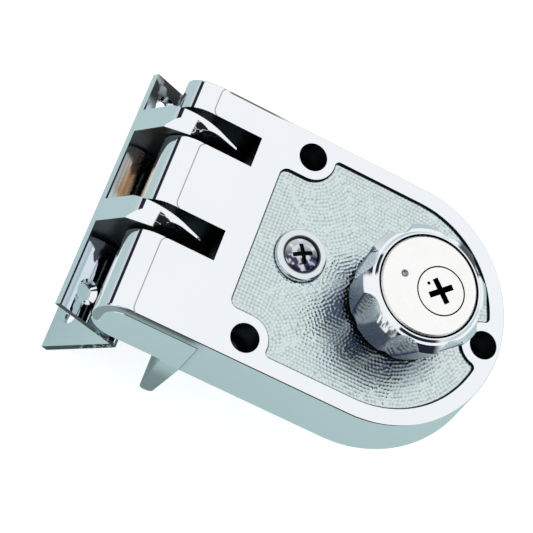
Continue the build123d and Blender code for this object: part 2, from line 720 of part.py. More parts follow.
# Knob grip: a cup that widens towards the front, with flutes along its side
with BuildPart() as knob_grip:
    loft([discs(knob_base_depth, knob_base_radius), discs(knob_rim_front, knob_rim_radius)], ruled=True)
    for lobe in range(lobe_count):
        flute_angle = radians(lobe_phase + (lobe + 0.5) * 360 / lobe_count)
        front_reach = knob_land_radius + scallop_radius
        back_reach = front_reach + scallop_lean
        loft([discs(knob_base_depth, scallop_radius,
                    (back_reach * cos(flute_angle), back_reach * sin(flute_angle))),
              discs(knob_rim_front, scallop_radius,
                    (front_reach * cos(flute_angle), front_reach * sin(flute_angle)))],
             ruled=True, mode=Mode.SUBTRACT)
    # Collar round the bore, a flat one step lower and a bevel across the front of each lobe
    with BuildSketch(Plane.XY) as rim_section:
        with BuildLine():
            rim_flat_depth = knob_rim_front - collar_step
            Polyline((collar_radius, -knob_face_depth), (collar_radius, -knob_rim_front),
                     (collar_radius + collar_step, -rim_flat_depth), (rim_flat_radius, -rim_flat_depth),
                     (rim_flat_radius + rim_bevel_run, rim_bevel_run - rim_flat_depth),
                     (rim_flat_radius + rim_bevel_run, -knob_face_depth), close=True)
        make_face()
    revolve(axis=Axis.Y, mode=Mode.SUBTRACT)
    extrude(discs(knob_floor_front, knob_bore_radius), amount=knob_face_depth, mode=Mode.SUBTRACT)
    extrude(discs(knob_back_depth, neck_radius + fit_gap), amount=knob_face_depth, mode=Mode.SUBTRACT)
    extrude(discs(knob_screw_end_depth, knob_screw_radius + fit_gap, *knob_screw_places),
            amount=knob_floor, mode=Mode.SUBTRACT)
knob_grip.part.label = "knob_grip"
export_step(knob_grip.part, "parts/knob_grip.step")


# Knob spindle: flange in the cup, neck in the bush and a square for the hub
with BuildPart() as knob_spindle:
    extrude(discs(knob_floor_front, knob_bore_radius - fit_gap), amount=spindle_flange)
    extrude(discs(neck_back_depth, neck_radius), amount=knob_floor_front - neck_back_depth)
    extrude(oblong(square_back_depth, -drive_square / 2, drive_square / 2,
                   -drive_square / 2, drive_square / 2),
            amount=neck_back_depth - square_back_depth)
    # Bore of the plug's tail, and the slot that the cam swings in
    extrude(discs(cam_slot_back, tail_radius + running_gap, (plug_offset, 0)),
            amount=knob_face_depth, mode=Mode.SUBTRACT)
    extrude(slice_of_disc(cam_slot_back, cam_slot_radius, cam_rest_angle - cam_slot_margin,
                          key_turn + 2 * cam_slot_margin, plug_offset),
            amount=cam_slot_height, mode=Mode.SUBTRACT)
    extrude(discs(cam_slot_back, cam_ring_radius + free_gap, (plug_offset, 0)),
            amount=cam_slot_height, mode=Mode.SUBTRACT)
    extrude(discs(cam_pocket_depth, cam_screw_head_radius + free_gap, (plug_offset, 0)),
            amount=cam_slot_back - cam_pocket_depth, mode=Mode.SUBTRACT)
    # Holes of the spindle screws and of the hub screw
    extrude(discs(knob_floor_front - fit_gap, knob_screw_radius + fit_gap, *knob_screw_places),
            amount=knob_face_depth, mode=Mode.SUBTRACT)
    extrude(discs(spindle_front - knob_screw_head, knob_screw_head_radius + fit_gap, *knob_screw_places),
            amount=knob_face_depth, mode=Mode.SUBTRACT)
    extrude(discs(square_back_depth - fit_gap, hub_screw_radius + fit_gap),
            amount=hub_screw_end_depth - square_back_depth + 2 * fit_gap, mode=Mode.SUBTRACT)
knob_spindle.part.label = "knob_spindle"
export_step(knob_spindle.part, "parts/knob_spindle.step")


# Screws that hold the cup to the spindle
with BuildPart() as spindle_screws:
    extrude(discs(knob_screw_end_depth + fit_gap, knob_screw_radius, *knob_screw_places),
            amount=spindle_front - knob_screw_end_depth - fit_gap)
    extrude(discs(spindle_front - knob_screw_head, knob_screw_head_radius, *knob_screw_places),
            amount=knob_screw_head)
spindle_screws.part.label = "spindle_screws"
export_step(spindle_screws.part, "parts/spindle_screws.step")


# Lock cylinder in the knob, bored off centre for the plug and drilled for one row of pins
with BuildPart() as lock_cylinder:
    extrude(discs(spindle_front, cylinder_radius), amount=knob_face_depth - spindle_front)
    chamfer(lock_cylinder.edges().sort_by(Axis.Y)[0], knob_rim_chamfer)
    extrude(discs(spindle_front - fit_gap, plug_radius + running_gap, (plug_offset, 0)),
            amount=knob_face_depth, mode=Mode.SUBTRACT)
    chamfer(lock_cylinder.edges().group_by(Axis.Y)[0].sort_by(SortBy.RADIUS)[0], shear_chamfer)
    extrude(discs(spindle_front - fit_gap, clip_radius + free_gap, (plug_offset, 0)),
            amount=clip_depth + clip_thickness + slot_end_gap - spindle_front, mode=Mode.SUBTRACT)
    extrude(pin_discs(cylinder_radius + plug_offset + overrun, pin_radius + fit_gap),
            amount=cylinder_radius + plug_offset + overrun - plug_radius / 2, mode=Mode.SUBTRACT)
    extrude(discs(face_pin_back, face_pin_radius + fit_gap, (face_pin_x, 0)),
            amount=knob_face_depth, mode=Mode.SUBTRACT)
lock_cylinder.part.label = "lock_cylinder"
export_step(lock_cylinder.part, "parts/lock_cylinder.step")


# Small pin in the face of the cylinder, with a hollow end
with BuildPart() as face_pin:
    extrude(discs(face_pin_back, face_pin_radius, (face_pin_x, 0)), amount=face_pin_length)
    with Locations((face_pin_x, face_pin_hollow_depth - face_pin_hollow_radius - face_pin_front, 0)):
        Sphere(face_pin_hollow_radius, mode=Mode.SUBTRACT)
face_pin.part.label = "face_pin"
export_step(face_pin.part, "parts/face_pin.step")


# Driver pins, outside the shear line
with BuildPart() as driver_pins:
    extrude(pin_discs(driver_pin_outer, pin_radius), amount=driver_pin_outer - driver_pin_inner)
driver_pins.part.label = "driver_pins"
export_step(driver_pins.part, "parts/driver_pins.step")


# Springs behind the driver pins
with BuildPart() as pin_springs:
    extrude(pin_discs(pin_cover_inner, pin_radius), amount=pin_cover_inner - driver_pin_outer)
    extrude(pin_discs(pin_cover_inner, pin_radius - spring_wall),
            amount=pin_cover_inner - driver_pin_outer, mode=Mode.SUBTRACT)
pin_springs.part.label = "pin_springs"
export_step(pin_springs.part, "parts/pin_springs.step")


# Plugs that close the pin chambers, flush with the cylinder
with BuildPart() as pin_covers:
    extrude(pin_discs(cylinder_radius + plug_offset, pin_radius),
            amount=cylinder_radius + plug_offset - pin_cover_inner)
    extrude(discs(spindle_front, cylinder_radius),
            amount=knob_face_depth - spindle_front, mode=Mode.INTERSECT)
pin_covers.part.label = "pin_covers"
export_step(pin_covers.part, "parts/pin_covers.step")


# Hub cam: disc with two detent notches, crank, and the sleeve that takes a tailpiece
with BuildPart() as hub_cam:
    with BuildSketch(front(hub_back)) as hub_outline:
        Circle(hub_radius)
        Rectangle(crank_radius, 2 * crank_ear_radius, rotation=crank_angle, align=(Align.MIN, Align.CENTER))
        with Locations(crank_place):
            Circle(crank_ear_radius)
        with PolarLocations(hub_radius - detent_notch_depth + detent_notch_radius, 2, start_angle=-hub_turn,
                            angular_range=hub_turn, endpoint=True):
            Circle(detent_notch_radius, mode=Mode.SUBTRACT)
    extrude(amount=hub_thickness)
    extrude(discs(hub_sleeve_end, hub_sleeve_radius), amount=hub_back - hub_sleeve_end)
    extrude(discs(crank_pin_end, crank_pin_radius, crank_place), amount=hub_back - crank_pin_end)
    extrude(oblong(hub_pocket_depth, -drive_square / 2 - fit_gap, drive_square / 2 + fit_gap,
                   -drive_square / 2 - fit_gap, drive_square / 2 + fit_gap),
            amount=case_depth, mode=Mode.SUBTRACT)
    extrude(discs(hub_sleeve_end - fit_gap, hub_bore_radius),
            amount=hub_web_depth - hub_sleeve_end + fit_gap, mode=Mode.SUBTRACT)
    extrude(discs(hub_sleeve_end - fit_gap, hub_screw_radius + fit_gap),
            amount=case_depth, mode=Mode.SUBTRACT)
    extrude(oblong(hub_sleeve_end - fit_gap, -tailpiece_width / 2, tailpiece_width / 2,
                   -tailpiece_length / 2, tailpiece_length / 2),
            amount=tailpiece_depth - hub_sleeve_end + fit_gap, mode=Mode.SUBTRACT)
hub_cam.part.label = "hub_cam"
export_step(hub_cam.part, "parts/hub_cam.step")


# Screw that holds the hub to the spindle
with BuildPart() as hub_screw:
    extrude(discs(hub_web_depth - hub_screw_head, hub_screw_head_radius), amount=hub_screw_head)
    extrude(discs(hub_web_depth, hub_screw_radius), amount=hub_screw_end_depth - hub_web_depth)
hub_screw.part.label = "hub_screw"
export_step(hub_screw.part, "parts/hub_screw.step")


# Roller on the crank pin, in the yoke of the carriage
with BuildPart() as crank_roller:
    extrude(discs(carriage_back + fit_gap, crank_roller_radius, crank_place),
            amount=carriage_thickness - 2 * fit_gap)
    extrude(discs(carriage_back, crank_pin_radius + running_gap, crank_place),
            amount=carriage_thickness, mode=Mode.SUBTRACT)
crank_roller.part.label = "crank_roller"
export_step(crank_roller.part, "parts/crank_roller.step")


# Key plug with its cross keyway and its tail
with BuildPart() as key_plug:
    extrude(discs(plug_back_depth, plug_radius, (plug_offset, 0)), amount=knob_face_depth - plug_back_depth)
    chamfer(key_plug.edges().sort_by(Axis.Y)[0], shear_chamfer)
    extrude(discs(cam_front_depth + fit_gap, tail_radius, (plug_offset, 0)),
            amount=plug_back_depth - cam_front_depth - fit_gap)
    extrude(discs(cam_back_depth, tail_tip_radius, (plug_offset, 0)), amount=plug_back_depth - cam_back_depth)
    with BuildSketch(front(keyway_end_depth)) as keyway:
        with Locations((plug_offset, 0)):
            Rectangle(keyway_length, keyway_width, rotation=keyway_angle)
            Rectangle(keyway_length, keyway_width, rotation=-keyway_angle)
    extrude(amount=knob_face_depth, mode=Mode.SUBTRACT)
    extrude(discs(knob_face_depth - dimple_depth, dimple_radius, (plug_offset + dimple_x, dimple_z)),
            amount=knob_face_depth, mode=Mode.SUBTRACT)
    extrude(pin_discs(plug_radius + overrun, pin_radius + fit_gap),
            amount=plug_radius + overrun - key_pin_inner + fit_gap, mode=Mode.SUBTRACT)
    # Groove of the clip
    with BuildSketch(front(clip_depth - fit_gap)) as clip_groove_ring:
        with Locations((plug_offset, 0)):
            Circle(plug_radius + overrun)
            Circle(plug_radius - clip_groove, mode=Mode.SUBTRACT)
    extrude(amount=clip_thickness + 2 * fit_gap, mode=Mode.SUBTRACT)
    # Thread hole of the cam screw
    extrude(discs(cam_back_depth - fit_gap, cam_screw_radius + fit_gap, (plug_offset, 0)),
            amount=cam_screw_length + 2 * fit_gap, mode=Mode.SUBTRACT)
key_plug.part.label = "key_plug"
export_step(key_plug.part, "parts/key_plug.step")


# Key pins in the plug
with BuildPart() as key_pins:
    extrude(pin_discs(key_pin_outer, pin_radius), amount=key_pin_outer - key_pin_inner)
key_pins.part.label = "key_pins"
export_step(key_pins.part, "parts/key_pins.step")


# Clip that holds the plug in the cylinder
with BuildPart() as plug_clip:
    extrude(discs(clip_depth, clip_radius, (plug_offset, 0)), amount=clip_thickness)
    extrude(discs(clip_depth, plug_radius - clip_groove + fit_gap, (plug_offset, 0)),
            amount=clip_thickness, mode=Mode.SUBTRACT)
plug_clip.part.label = "plug_clip"
export_step(plug_clip.part, "parts/plug_clip.step")


# Lock cam: ring on the tail with a flag that swings into a pocket of the bush
with BuildPart() as lock_cam:
    with BuildSketch(front(cam_back_depth)) as cam_outline:
        with Locations((plug_offset, 0)):
            Circle(cam_ring_radius)
            Rectangle(cam_reach, cam_width, rotation=cam_rest_angle, align=(Align.MIN, Align.CENTER))
            Circle(tail_tip_radius + fit_gap, mode=Mode.SUBTRACT)
    extrude(amount=cam_thickness)
lock_cam.part.label = "lock_cam"
export_step(lock_cam.part, "parts/lock_cam.step")


# Screw that holds the cam on the tail
with BuildPart() as cam_screw:
    extrude(discs(cam_back_depth - cam_screw_head, cam_screw_head_radius, (plug_offset, 0)),
            amount=cam_screw_head)
    extrude(discs(cam_back_depth, cam_screw_radius, (plug_offset, 0)), amount=cam_screw_length)
cam_screw.part.label = "cam_screw"
export_step(cam_screw.part, "parts/cam_screw.step")


# Strike: two flanges at a right angle and two hooked claws whose beaks are bevelled to a point
with BuildPart() as strike_plate:
    flange_back = face_flange_front + strike_thickness
    inner_corner_x = strike_corner_x - strike_thickness
    with BuildSketch(strike_plane.offset(-strike_half_height)) as flanges:
        with BuildLine():
            Polyline((face_flange_left, face_flange_front), (strike_corner_x, face_flange_front),
                     (strike_corner_x, edge_flange_end), (inner_corner_x, edge_flange_end),
                     (inner_corner_x, flange_back), (face_flange_left, flange_back), close=True)
        make_face()
        outer_bend = flanges.vertices().group_by(Axis.X)[-1].sort_by(Axis.Y)[0]
        fillet(outer_bend, strike_outer_bend)
    extrude(amount=2 * strike_half_height)

    # Claws with the eye of the prong: a round crown that runs out straight to the tip of the beak
    for claw_z in claw_places:
        with BuildSketch(strike_plane.offset(claw_z - claw_width / 2)) as claw:
            with BuildLine():
                crown = CenterArc((claw_crown_x, 0), claw_crown_radius, 180, 90)
                Polyline(crown @ 1, claw_tip, (claw_root_x, 0),
                         (claw_root_x, face_flange_front + strike_thickness / 2),
                         (face_flange_left, face_flange_front + strike_thickness / 2), crown @ 0)
            make_face()
            Circle(prong_radius + claw_eye_gap, mode=Mode.SUBTRACT)
        extrude(amount=claw_width)
        # One bevel above and two below, which meet in the point of the beak
        for side, bevel_heading, edge_distance, slope in claw_bevels:
            outward = Vector(1, 0, 0).rotate(Axis.Z, bevel_heading)
            edge_middle = outward * edge_distance + Vector(0, 0, claw_z + side * claw_width / 2)
            fall = outward * cos(radians(slope)) - Vector(0, 0, side * sin(radians(slope)))
            facing = outward * sin(radians(slope)) + Vector(0, 0, side * cos(radians(slope)))
            bevel_plane = Plane(origin=strike_plane.from_local_coords(edge_middle),
                                x_dir=strike_plane.from_local_coords(fall.cross(facing))
                                - strike_plane.origin,
                                z_dir=strike_plane.from_local_coords(facing) - strike_plane.origin)
            with BuildSketch(bevel_plane) as bevel:
                Rectangle(2 * claw_bevel_reach, claw_bevel_reach, align=(Align.CENTER, Align.MIN))
            extrude(amount=claw_width, mode=Mode.SUBTRACT)

    # Countersunk screw holes in both flanges
    face_plane = Plane(origin=strike_plane.from_local_coords((0, face_flange_front, 0)),
                       x_dir=strike_plane.x_dir, z_dir=-strike_plane.y_dir)
    edge_plane = Plane(origin=strike_plane.from_local_coords((strike_corner_x, 0, 0)),
                       x_dir=strike_plane.y_dir, z_dir=strike_plane.x_dir)
    with Locations(face_plane * Pos(face_screw_x, face_screw_z),
                   face_plane * Pos(face_screw_x, -face_screw_z),
                   edge_plane * Pos(edge_screw_y, edge_screw_z),
                   edge_plane * Pos(edge_screw_y, -edge_screw_z)):
        CounterSinkHole(strike_screw_radius, strike_head_radius, 2 * strike_thickness)
strike_plate.part.label = "strike_plate"
export_step(strike_plate.part, "parts/strike_plate.step")
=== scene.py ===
import math
import random
import bpy
from mathutils import Matrix, Vector
from mathutils.kdtree import KDTree


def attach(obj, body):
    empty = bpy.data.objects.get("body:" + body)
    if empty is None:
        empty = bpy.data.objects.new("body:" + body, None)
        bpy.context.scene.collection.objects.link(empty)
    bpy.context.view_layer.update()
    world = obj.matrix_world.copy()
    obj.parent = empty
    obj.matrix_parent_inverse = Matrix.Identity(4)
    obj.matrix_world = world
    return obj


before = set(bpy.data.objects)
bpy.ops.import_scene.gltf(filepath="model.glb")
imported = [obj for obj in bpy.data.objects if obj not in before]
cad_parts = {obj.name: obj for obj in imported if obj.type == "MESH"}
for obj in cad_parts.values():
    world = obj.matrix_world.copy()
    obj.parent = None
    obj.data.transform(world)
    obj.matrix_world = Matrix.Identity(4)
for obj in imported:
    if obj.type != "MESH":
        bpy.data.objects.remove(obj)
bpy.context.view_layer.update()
MM = 0.001
random.seed(20)

# Camera at the photograph's angle
IMAGE_PX = 533.0
FOCAL_PX = 1810.308
SENSOR = 36.0
CAMERA_RIGHT = (0.8808, -0.3436, 0.3256)
CAMERA_UP = (-0.4295, -0.2907, 0.855)
CAMERA_PLACE = (-0.12792, -0.42447, -0.19158)
cam_data = bpy.data.cameras.new("camera")
cam_data.sensor_width = SENSOR
cam_data.lens = FOCAL_PX / IMAGE_PX * SENSOR
cam_data.clip_start = 0.01
cam_data.clip_end = 20
cam = bpy.data.objects.new("camera", cam_data)
bpy.context.scene.collection.objects.link(cam)
right = Vector(CAMERA_RIGHT).normalized()
up = Vector(CAMERA_UP)
up = (up - right * up.dot(right)).normalized()
back = right.cross(up)
cam.matrix_world = Matrix([*zip(right, up, back, CAMERA_PLACE), (0.0, 0.0, 0.0, 1.0)])
bpy.context.scene.camera = cam
bpy.context.scene.view_settings.view_transform = "Standard"

# Values at the two ends of a ramp
RISING = (0.0, 1.0)
FALLING = (1.0, 0.0)


class Nodes:
    """Short way to write a node tree. Masks are numbers from 0, off, to 1, on."""

    def __init__(self, tree):
        self.tree = tree
        tree.nodes.clear()

    def new(self, kind, **values):
        node = self.tree.nodes.new(kind)
        for key, value in values.items():
            setattr(node, key, value)
        return node

    def put(self, socket, value):
        if isinstance(value, bpy.types.NodeSocket):
            self.tree.links.new(value, socket)
        else:
            socket.default_value = value

    def made(self, kind, inputs, output=0, **values):
        """New node with inputs given by number or name, as one of its outputs."""
        node = self.new(kind, **values)
        for key, value in inputs.items():
            self.put(node.inputs[key], value)
        return node.outputs[output]

    def position(self):
        return self.new("ShaderNodeTexCoord").outputs["Object"]

    def normal(self):
        return self.new("ShaderNodeTexCoord").outputs["Normal"]

    def xyz(self, vector):
        node = self.new("ShaderNodeSeparateXYZ")
        self.put(node.inputs[0], vector)
        return tuple(node.outputs)

    def math(self, op, *items):
        return self.made("ShaderNodeMath", dict(enumerate(items)), operation=op)

    def dot(self, a, b):
        return self.made("ShaderNodeVectorMath", {0: a, 1: b}, "Value", operation="DOT_PRODUCT")

    def hypot(self, a, b):
        return self.math("SQRT", self.weighted(a, a, b, b))

    def weighted(self, a, a_factor, b, b_factor):
        """Sum of two values, each times its factor."""
        a_part = self.math("MULTIPLY", a, a_factor)
        b_part = self.math("MULTIPLY", b, b_factor)
        return self.math("ADD", a_part, b_part)

    def mix(self, factor, a, b):
        return self.made("ShaderNodeMix", {0: factor, 6: a, 7: b}, 2, data_type="RGBA")

    def noise(self, vector, scale, detail, roughness=0.5):
        inputs = {"Vector": vector, "Scale": scale, "Detail": detail, "Roughness": roughness}
        return self.made("ShaderNodeTexNoise", inputs, "Fac")

    def streaks(self, vector, scales, detail, roughness=0.5):
        """Noise with its own scale along each axis."""
        stretched = self.made("ShaderNodeMapping", {"Vector": vector, "Scale": scales})
        return self.noise(stretched, 1.0, detail, roughness)

    def bump(self, height, distance, strength):
        inputs = {"Strength": strength, "Distance": distance, "Height": height}
        return self.made("ShaderNodeBump", inputs)

    def step(self, value, span, ends=RISING):
        """Smooth ramp of a value over a span, between two end values."""
        inputs = dict(enumerate((value, *span, *ends)))
        return self.made("ShaderNodeMapRange", inputs, interpolation_type="SMOOTHSTEP")

    def step_mm(self, value, span, ends=RISING):
        return self.step(value, [place * MM for place in span], ends)

    def below(self, value, limit_mm):
        return self.math("LESS_THAN", value, limit_mm * MM)

    def above(self, value, limit_mm):
        return self.math("GREATER_THAN", value, limit_mm * MM)

    def between(self, value, low_mm, high_mm):
        return self.all(self.above(value, low_mm), self.below(value, high_mm))

    def from_axis(self, pos, x_mm=0.0, z_mm=0.0):
        """Distance from a line along Y."""
        x, _, z = self.xyz(pos)
        return self.hypot(self.math("SUBTRACT", x, x_mm * MM), self.math("SUBTRACT", z, z_mm * MM))

    def any(self, *masks):
        total = masks[0]
        for mask in masks[1:]:
            total = self.math("MAXIMUM", total, mask)
        return total

    def all(self, *masks):
        total = masks[0]
        for mask in masks[1:]:
            total = self.math("MULTIPLY", total, mask)
        return total


def turn(degrees):
    """Cosine and sine of an angle."""
    return math.cos(math.radians(degrees)), math.sin(math.radians(degrees))


def rgb(r, g, b):
    return (r, g, b, 1.0)


def dimmed(color, factor):
    return rgb(*[part * factor for part in color[:3]])


def new_material(name):
    """Material without nodes, and the socket that takes its shader."""
    material = bpy.data.materials.new(name)
    material.use_nodes = True
    n = Nodes(material.node_tree)
    return material, n, n.new("ShaderNodeOutputMaterial").inputs[0]


# Places on the lock, in millimetres. The origin is on the knob's axis, and the front faces -Y.
# Masks reach SKIN past the surfaces that they paint
PANEL_FRONT = 15.2
PANEL_LEFT = -42.4
PANEL_HALF = 29.2
PANEL_CORNER = 2.4
NOTCH_RADIUS = 6.2
NOTCH_FILLET = 1.4
END_ARC_X = -3.8
WINDOW_RIGHT = -50.0
WINDOWS = (20.8, -7.4)
WINDOW_HALF = 4.4
HOLES = ((-35.5, 27.0), (-35.5, -27.0), (24.8, 0.0))
HOLE_RADIUS = 3.85
GROOVE_FLOOR = -15.8
GROOVE_TOP = 0.12
GROOVE_X = (-65.3, -61.5)
CUP_X = -29.5
CUP_RADIUS = 6.9
HEAD_RADIUS = 4.65
CROSS_TURNS = (30.0, 120.0)
CROSS_HALF_WIDTH = 0.57
CROSS_REACH = 2.72
FLANGE_RADIUS = 13.2
KNOB_BORE = 13.6
KNOB_FACE = 33.7
KNOB_FACE_STEP = 0.42
KNOB_RIM = 33.4
KNOB_RIM_RADIUS = 17.3
KNOB_RIM_BACK = -30.4
KNOB_BASE = 17.3
KNOB_BASE_RADIUS = 15.0
KNOB_TAPER = (KNOB_RIM_RADIUS - KNOB_BASE_RADIUS) / (KNOB_RIM - KNOB_BASE)
KNOB_SIDE_Y = (2.2 - KNOB_FACE, 3.4 - KNOB_FACE)
PLUG_X = 3.25
PLUG_BORE = 6.41
PLUG_RING = 0.17
PLUG_FACE_STEP = 0.02
STRIKE_X = -64.6
STRIKE_Y = -8.4
STRIKE_SWING = 28.0
STRIKE_COS, STRIKE_SIN = turn(STRIKE_SWING)
CLAW_ENDS_X = (-67.9, -67.4)
SKIN = 0.03


# Masks of painted shade and painted reflections on the case
# Painted shade: the inside of the windows is painted dark
def inside_windows(n, pos):
    x, _, z = n.xyz(pos)
    half = WINDOW_HALF + SKIN
    heights = [n.between(z, middle - half, middle + half) for middle in WINDOWS]
    return n.all(n.any(*heights), n.below(x, WINDOW_RIGHT + SKIN))


# Painted shade: the screw holes are painted dark inside
def inside_holes(n, pos):
    return n.any(*[n.below(n.from_axis(pos, x, z), HOLE_RADIUS + SKIN) for x, z in HOLES])


def on_panel_floor(n, pos):
    """Floor of the sunk panel, painted dark as shade, which shows as a dark line round the
    pebbles.
    """
    x, y, z = n.xyz(pos)
    past_arc = n.math("MAXIMUM", n.math("SUBTRACT", x, END_ARC_X * MM), 0.0)
    return n.all(n.between(y, -PANEL_FRONT - SKIN, -PANEL_FRONT + SKIN),
                 n.above(x, PANEL_LEFT - SKIN), n.below(n.hypot(past_arc, z), PANEL_HALF + SKIN))


def in_flat_groove(n, pos):
    """Fine groove at the left end of the flat front, painted dark as shade."""
    x, y, _ = n.xyz(pos)
    darkness = 0.55
    in_depth = n.between(y, GROOVE_FLOOR - SKIN, GROOVE_FLOOR + GROOVE_TOP)
    return n.math("MULTIPLY", n.all(in_depth, n.between(x, *GROOVE_X)), darkness)


def by_housing(n, pos):
    """Edge of the case round the bolt housing: painted shade on its downward faces, stronger
    towards the front.
    """
    x, y, _ = n.xyz(pos)
    beside = n.step_mm(x, (-49.0, -43.0), FALLING)
    facing_down = n.step(n.xyz(n.normal())[2], (-0.90, -0.70), FALLING)
    darker_in_front = n.step_mm(y, (-15.6, -14.0), (0.80, 0.45))
    return n.all(beside, facing_down, darker_in_front)


def on_top_edge(n, pos):
    """Rounded edge of the front above the upper window, with a painted dark reflection."""
    x, y, z = n.xyz(pos)
    start = n.step_mm(x, (-63.0, -61.5))
    fading = n.step_mm(x, (-50.0, -43.5), (0.85, 0.0))
    on_edge = n.all(n.step_mm(z, (32.7, 32.95)), n.step_mm(y, (-15.0, -15.3)))
    return n.all(start, fading, on_edge)


def behind_face(n, pos):
    """Part of the housing behind the mounting face, painted darker towards the back as shade."""
    return n.step_mm(n.xyz(pos)[1], (1.5, 12.0), (0.0, 0.5))


def in_crevices(n, pos):
    """Low ground between the pebbles of the panel, painted dark as shade."""
    return n.step_mm(n.xyz(pos)[1], (-PANEL_FRONT - 0.16, -PANEL_FRONT - 0.02), (0.0, 0.42))


def below_knob(n, pos):
    """Painted reflection of the knob: darker, duller ground on the panel, low beside the knob."""
    return n.step_mm(n.from_axis(pos, -3.0, -8.0), (11.0, 19.5), (0.75, 0.0))


# Masks of painted shade and painted reflections on the knob and its cylinder
# Painted shade: the knob's bore is painted dark
def in_knob_bore(n, pos):
    return n.below(n.from_axis(pos), KNOB_BORE + SKIN)


# Painted shade on the lock cylinder behind its face
def below_knob_face(n, pos):
    return n.above(n.xyz(pos)[1], KNOB_FACE_STEP - KNOB_FACE)


# Painted shade on the key plug behind its face
def below_plug_face(n, pos):
    return n.above(n.xyz(pos)[1], PLUG_FACE_STEP - KNOB_FACE)


# Painted shade in the ring round the key plug
def in_plug_bore(n, pos):
    return n.below(n.from_axis(pos, PLUG_X), PLUG_BORE + PLUG_RING)


def on_knob_side(n, pos):
    """Painted reflection on the side of the knob, behind its bevelled rim, darker on the lobes
    than in the flutes.
    """
    y = n.xyz(pos)[1]
    radius_at_origin = (KNOB_BASE_RADIUS - KNOB_TAPER * KNOB_BASE) * MM
    lobe_radius = n.math("MULTIPLY_ADD", y, -KNOB_TAPER, radius_at_origin)
    beyond_lobe = n.math("SUBTRACT", n.from_axis(pos), lobe_radius)
    on_lobe = n.step_mm(beyond_lobe, (-0.7, -0.2), (0.28, 1.0))
    return n.all(n.step_mm(y, KNOB_SIDE_Y), on_lobe)


def along_ray(n, pos, degrees):
    """Cosine of the angle between a place on the knob and a ray from its axis."""
    x, _, z = n.xyz(pos)
    cosine, sine = turn(degrees)
    return n.math("DIVIDE", n.weighted(x, cosine, z, sine), n.from_axis(pos))


def on_knob_bevel(n, pos):
    """Painted dark reflection in streaks across the bevel of one lobe."""
    bevel = n.step_mm(n.from_axis(pos), (14.9, 15.3))
    one_lobe = n.step(along_ray(n, pos, 243.0), (0.972, 0.990))
    streaks = n.step(n.streaks(pos, (900.0, 200.0, 350.0), 2.0), (0.44, 0.56), (0.80, 0.05))
    return n.all(bevel, one_lobe, streaks, n.below(n.xyz(pos)[1], KNOB_RIM_BACK))


def on_knob_edge(n, pos):
    """Painted dark reflection: a crescent on the knob's rim."""
    away = n.from_axis(pos)
    ring = n.all(n.step_mm(away, (13.9, 14.2)), n.step_mm(away, (16.9, 17.3), FALLING))
    crescent = n.step(along_ray(n, pos, 55.0), (0.935, 0.965), (0.0, 0.9))
    return n.all(ring, crescent, n.below(n.xyz(pos)[1], KNOB_RIM_BACK))


# Masks of painted shade and painted reflections on the panel screw and its cup
def in_cup(n, pos):
    """Ring of the cup round the screw's head, with painted shade next to the head."""
    ring_end = (HEAD_RADIUS + 0.35, HEAD_RADIUS + 0.65)
    return n.step_mm(n.from_axis(pos, CUP_X), ring_end, (0.92, 0.0))


def dome_shade(n, pos):
    """Painted reflection: dark patches on the screw's dome, closer together towards its lower
    side.
    """
    x, _, z = n.xyz(pos)
    lean = 0.35
    low = n.math("SUBTRACT", n.math("MULTIPLY", n.math("SUBTRACT", x, CUP_X * MM), lean), z)
    lower_side = n.step_mm(low, (-3.5, 1.5), (0.35, 1.0))
    patches = n.step(n.noise(pos, 520.0, 1.5), (0.51, 0.60), (1.0, 0.25))
    return n.all(lower_side, patches)


def in_cross(n, pos):
    """Cross recess of the panel screw, painted dark as shade."""
    x, _, z = n.xyz(pos)
    dx = n.math("SUBTRACT", x, CUP_X * MM)
    bars = []
    for degrees in CROSS_TURNS:
        cosine, sine = turn(degrees)
        across = n.math("ABSOLUTE", n.weighted(dx, -sine, z, cosine))
        along = n.math("ABSOLUTE", n.weighted(dx, cosine, z, sine))
        bars.append(n.all(n.below(across, CROSS_HALF_WIDTH), n.below(along, CROSS_REACH)))
    return n.any(*bars)


# Masks of painted shade and painted reflections on the strike
def on_strike_front(n):
    """Front of the strike's first flange."""
    return n.step(n.dot(n.normal(), (STRIKE_SIN, -STRIKE_COS, 0.0)), (0.90, 0.97))


def under_claws(n, pos):
    """Painted shade on the faces of the strike that look down, but for the ends of the claws."""
    facing_down = n.step(n.xyz(n.normal())[2], (-0.80, -0.72), (0.9, 0.0))
    return n.all(facing_down, n.step_mm(n.xyz(pos)[0], CLAW_ENDS_X, FALLING))


def claw_ends(n, pos):
    """Painted reflection on the inner facets of the claws towards their tips: dark, with fine
    painted light ridges.
    """
    inner = n.step(n.xyz(n.normal())[2], (-0.50, -0.40), FALLING)
    noise = n.streaks(pos, (420.0, 420.0, 640.0), 1.5)
    from_middle = n.math("ABSOLUTE", n.math("SUBTRACT", noise, 0.5))
    ridges = n.step(from_middle, (0.008, 0.028), (0.20, 0.985))
    return n.all(inner, n.step_mm(n.xyz(pos)[0], CLAW_ENDS_X), ridges)


def strike_warm_reflection(n, pos):
    """Painted warm reflection in streaks on the face of the strike between its claws."""
    x, y, z = n.xyz(pos)
    along = n.weighted(n.math("SUBTRACT", x, STRIKE_X * MM), STRIKE_COS,
                       n.math("SUBTRACT", y, STRIKE_Y * MM), STRIKE_SIN)
    width = n.all(n.step_mm(along, (-11.0, -9.5)), n.step_mm(along, (-4.0, -1.0), FALLING))
    height = n.all(n.step_mm(z, (-3.0, 0.5)), n.step_mm(z, (12.0, 16.0), FALLING))
    streaks = n.step(n.streaks(pos, (900.0, 900.0, 25.0), 2.0), (0.36, 0.62), (0.35, 1.0))
    return n.all(width, height, streaks, on_strike_front(n))


def strike_top(n, pos):
    """Painted dark reflection on the upper end of the strike, above its upper claw, broken by
    lighter clouds.
    """
    upper_end = n.step_mm(n.xyz(pos)[2], (24.5, 29.0), (0.0, 0.95))
    clouds = n.step(n.noise(pos, 260.0, 3.0), (0.52, 0.66), (1.0, 0.65))
    return n.all(upper_end, clouds, on_strike_front(n))


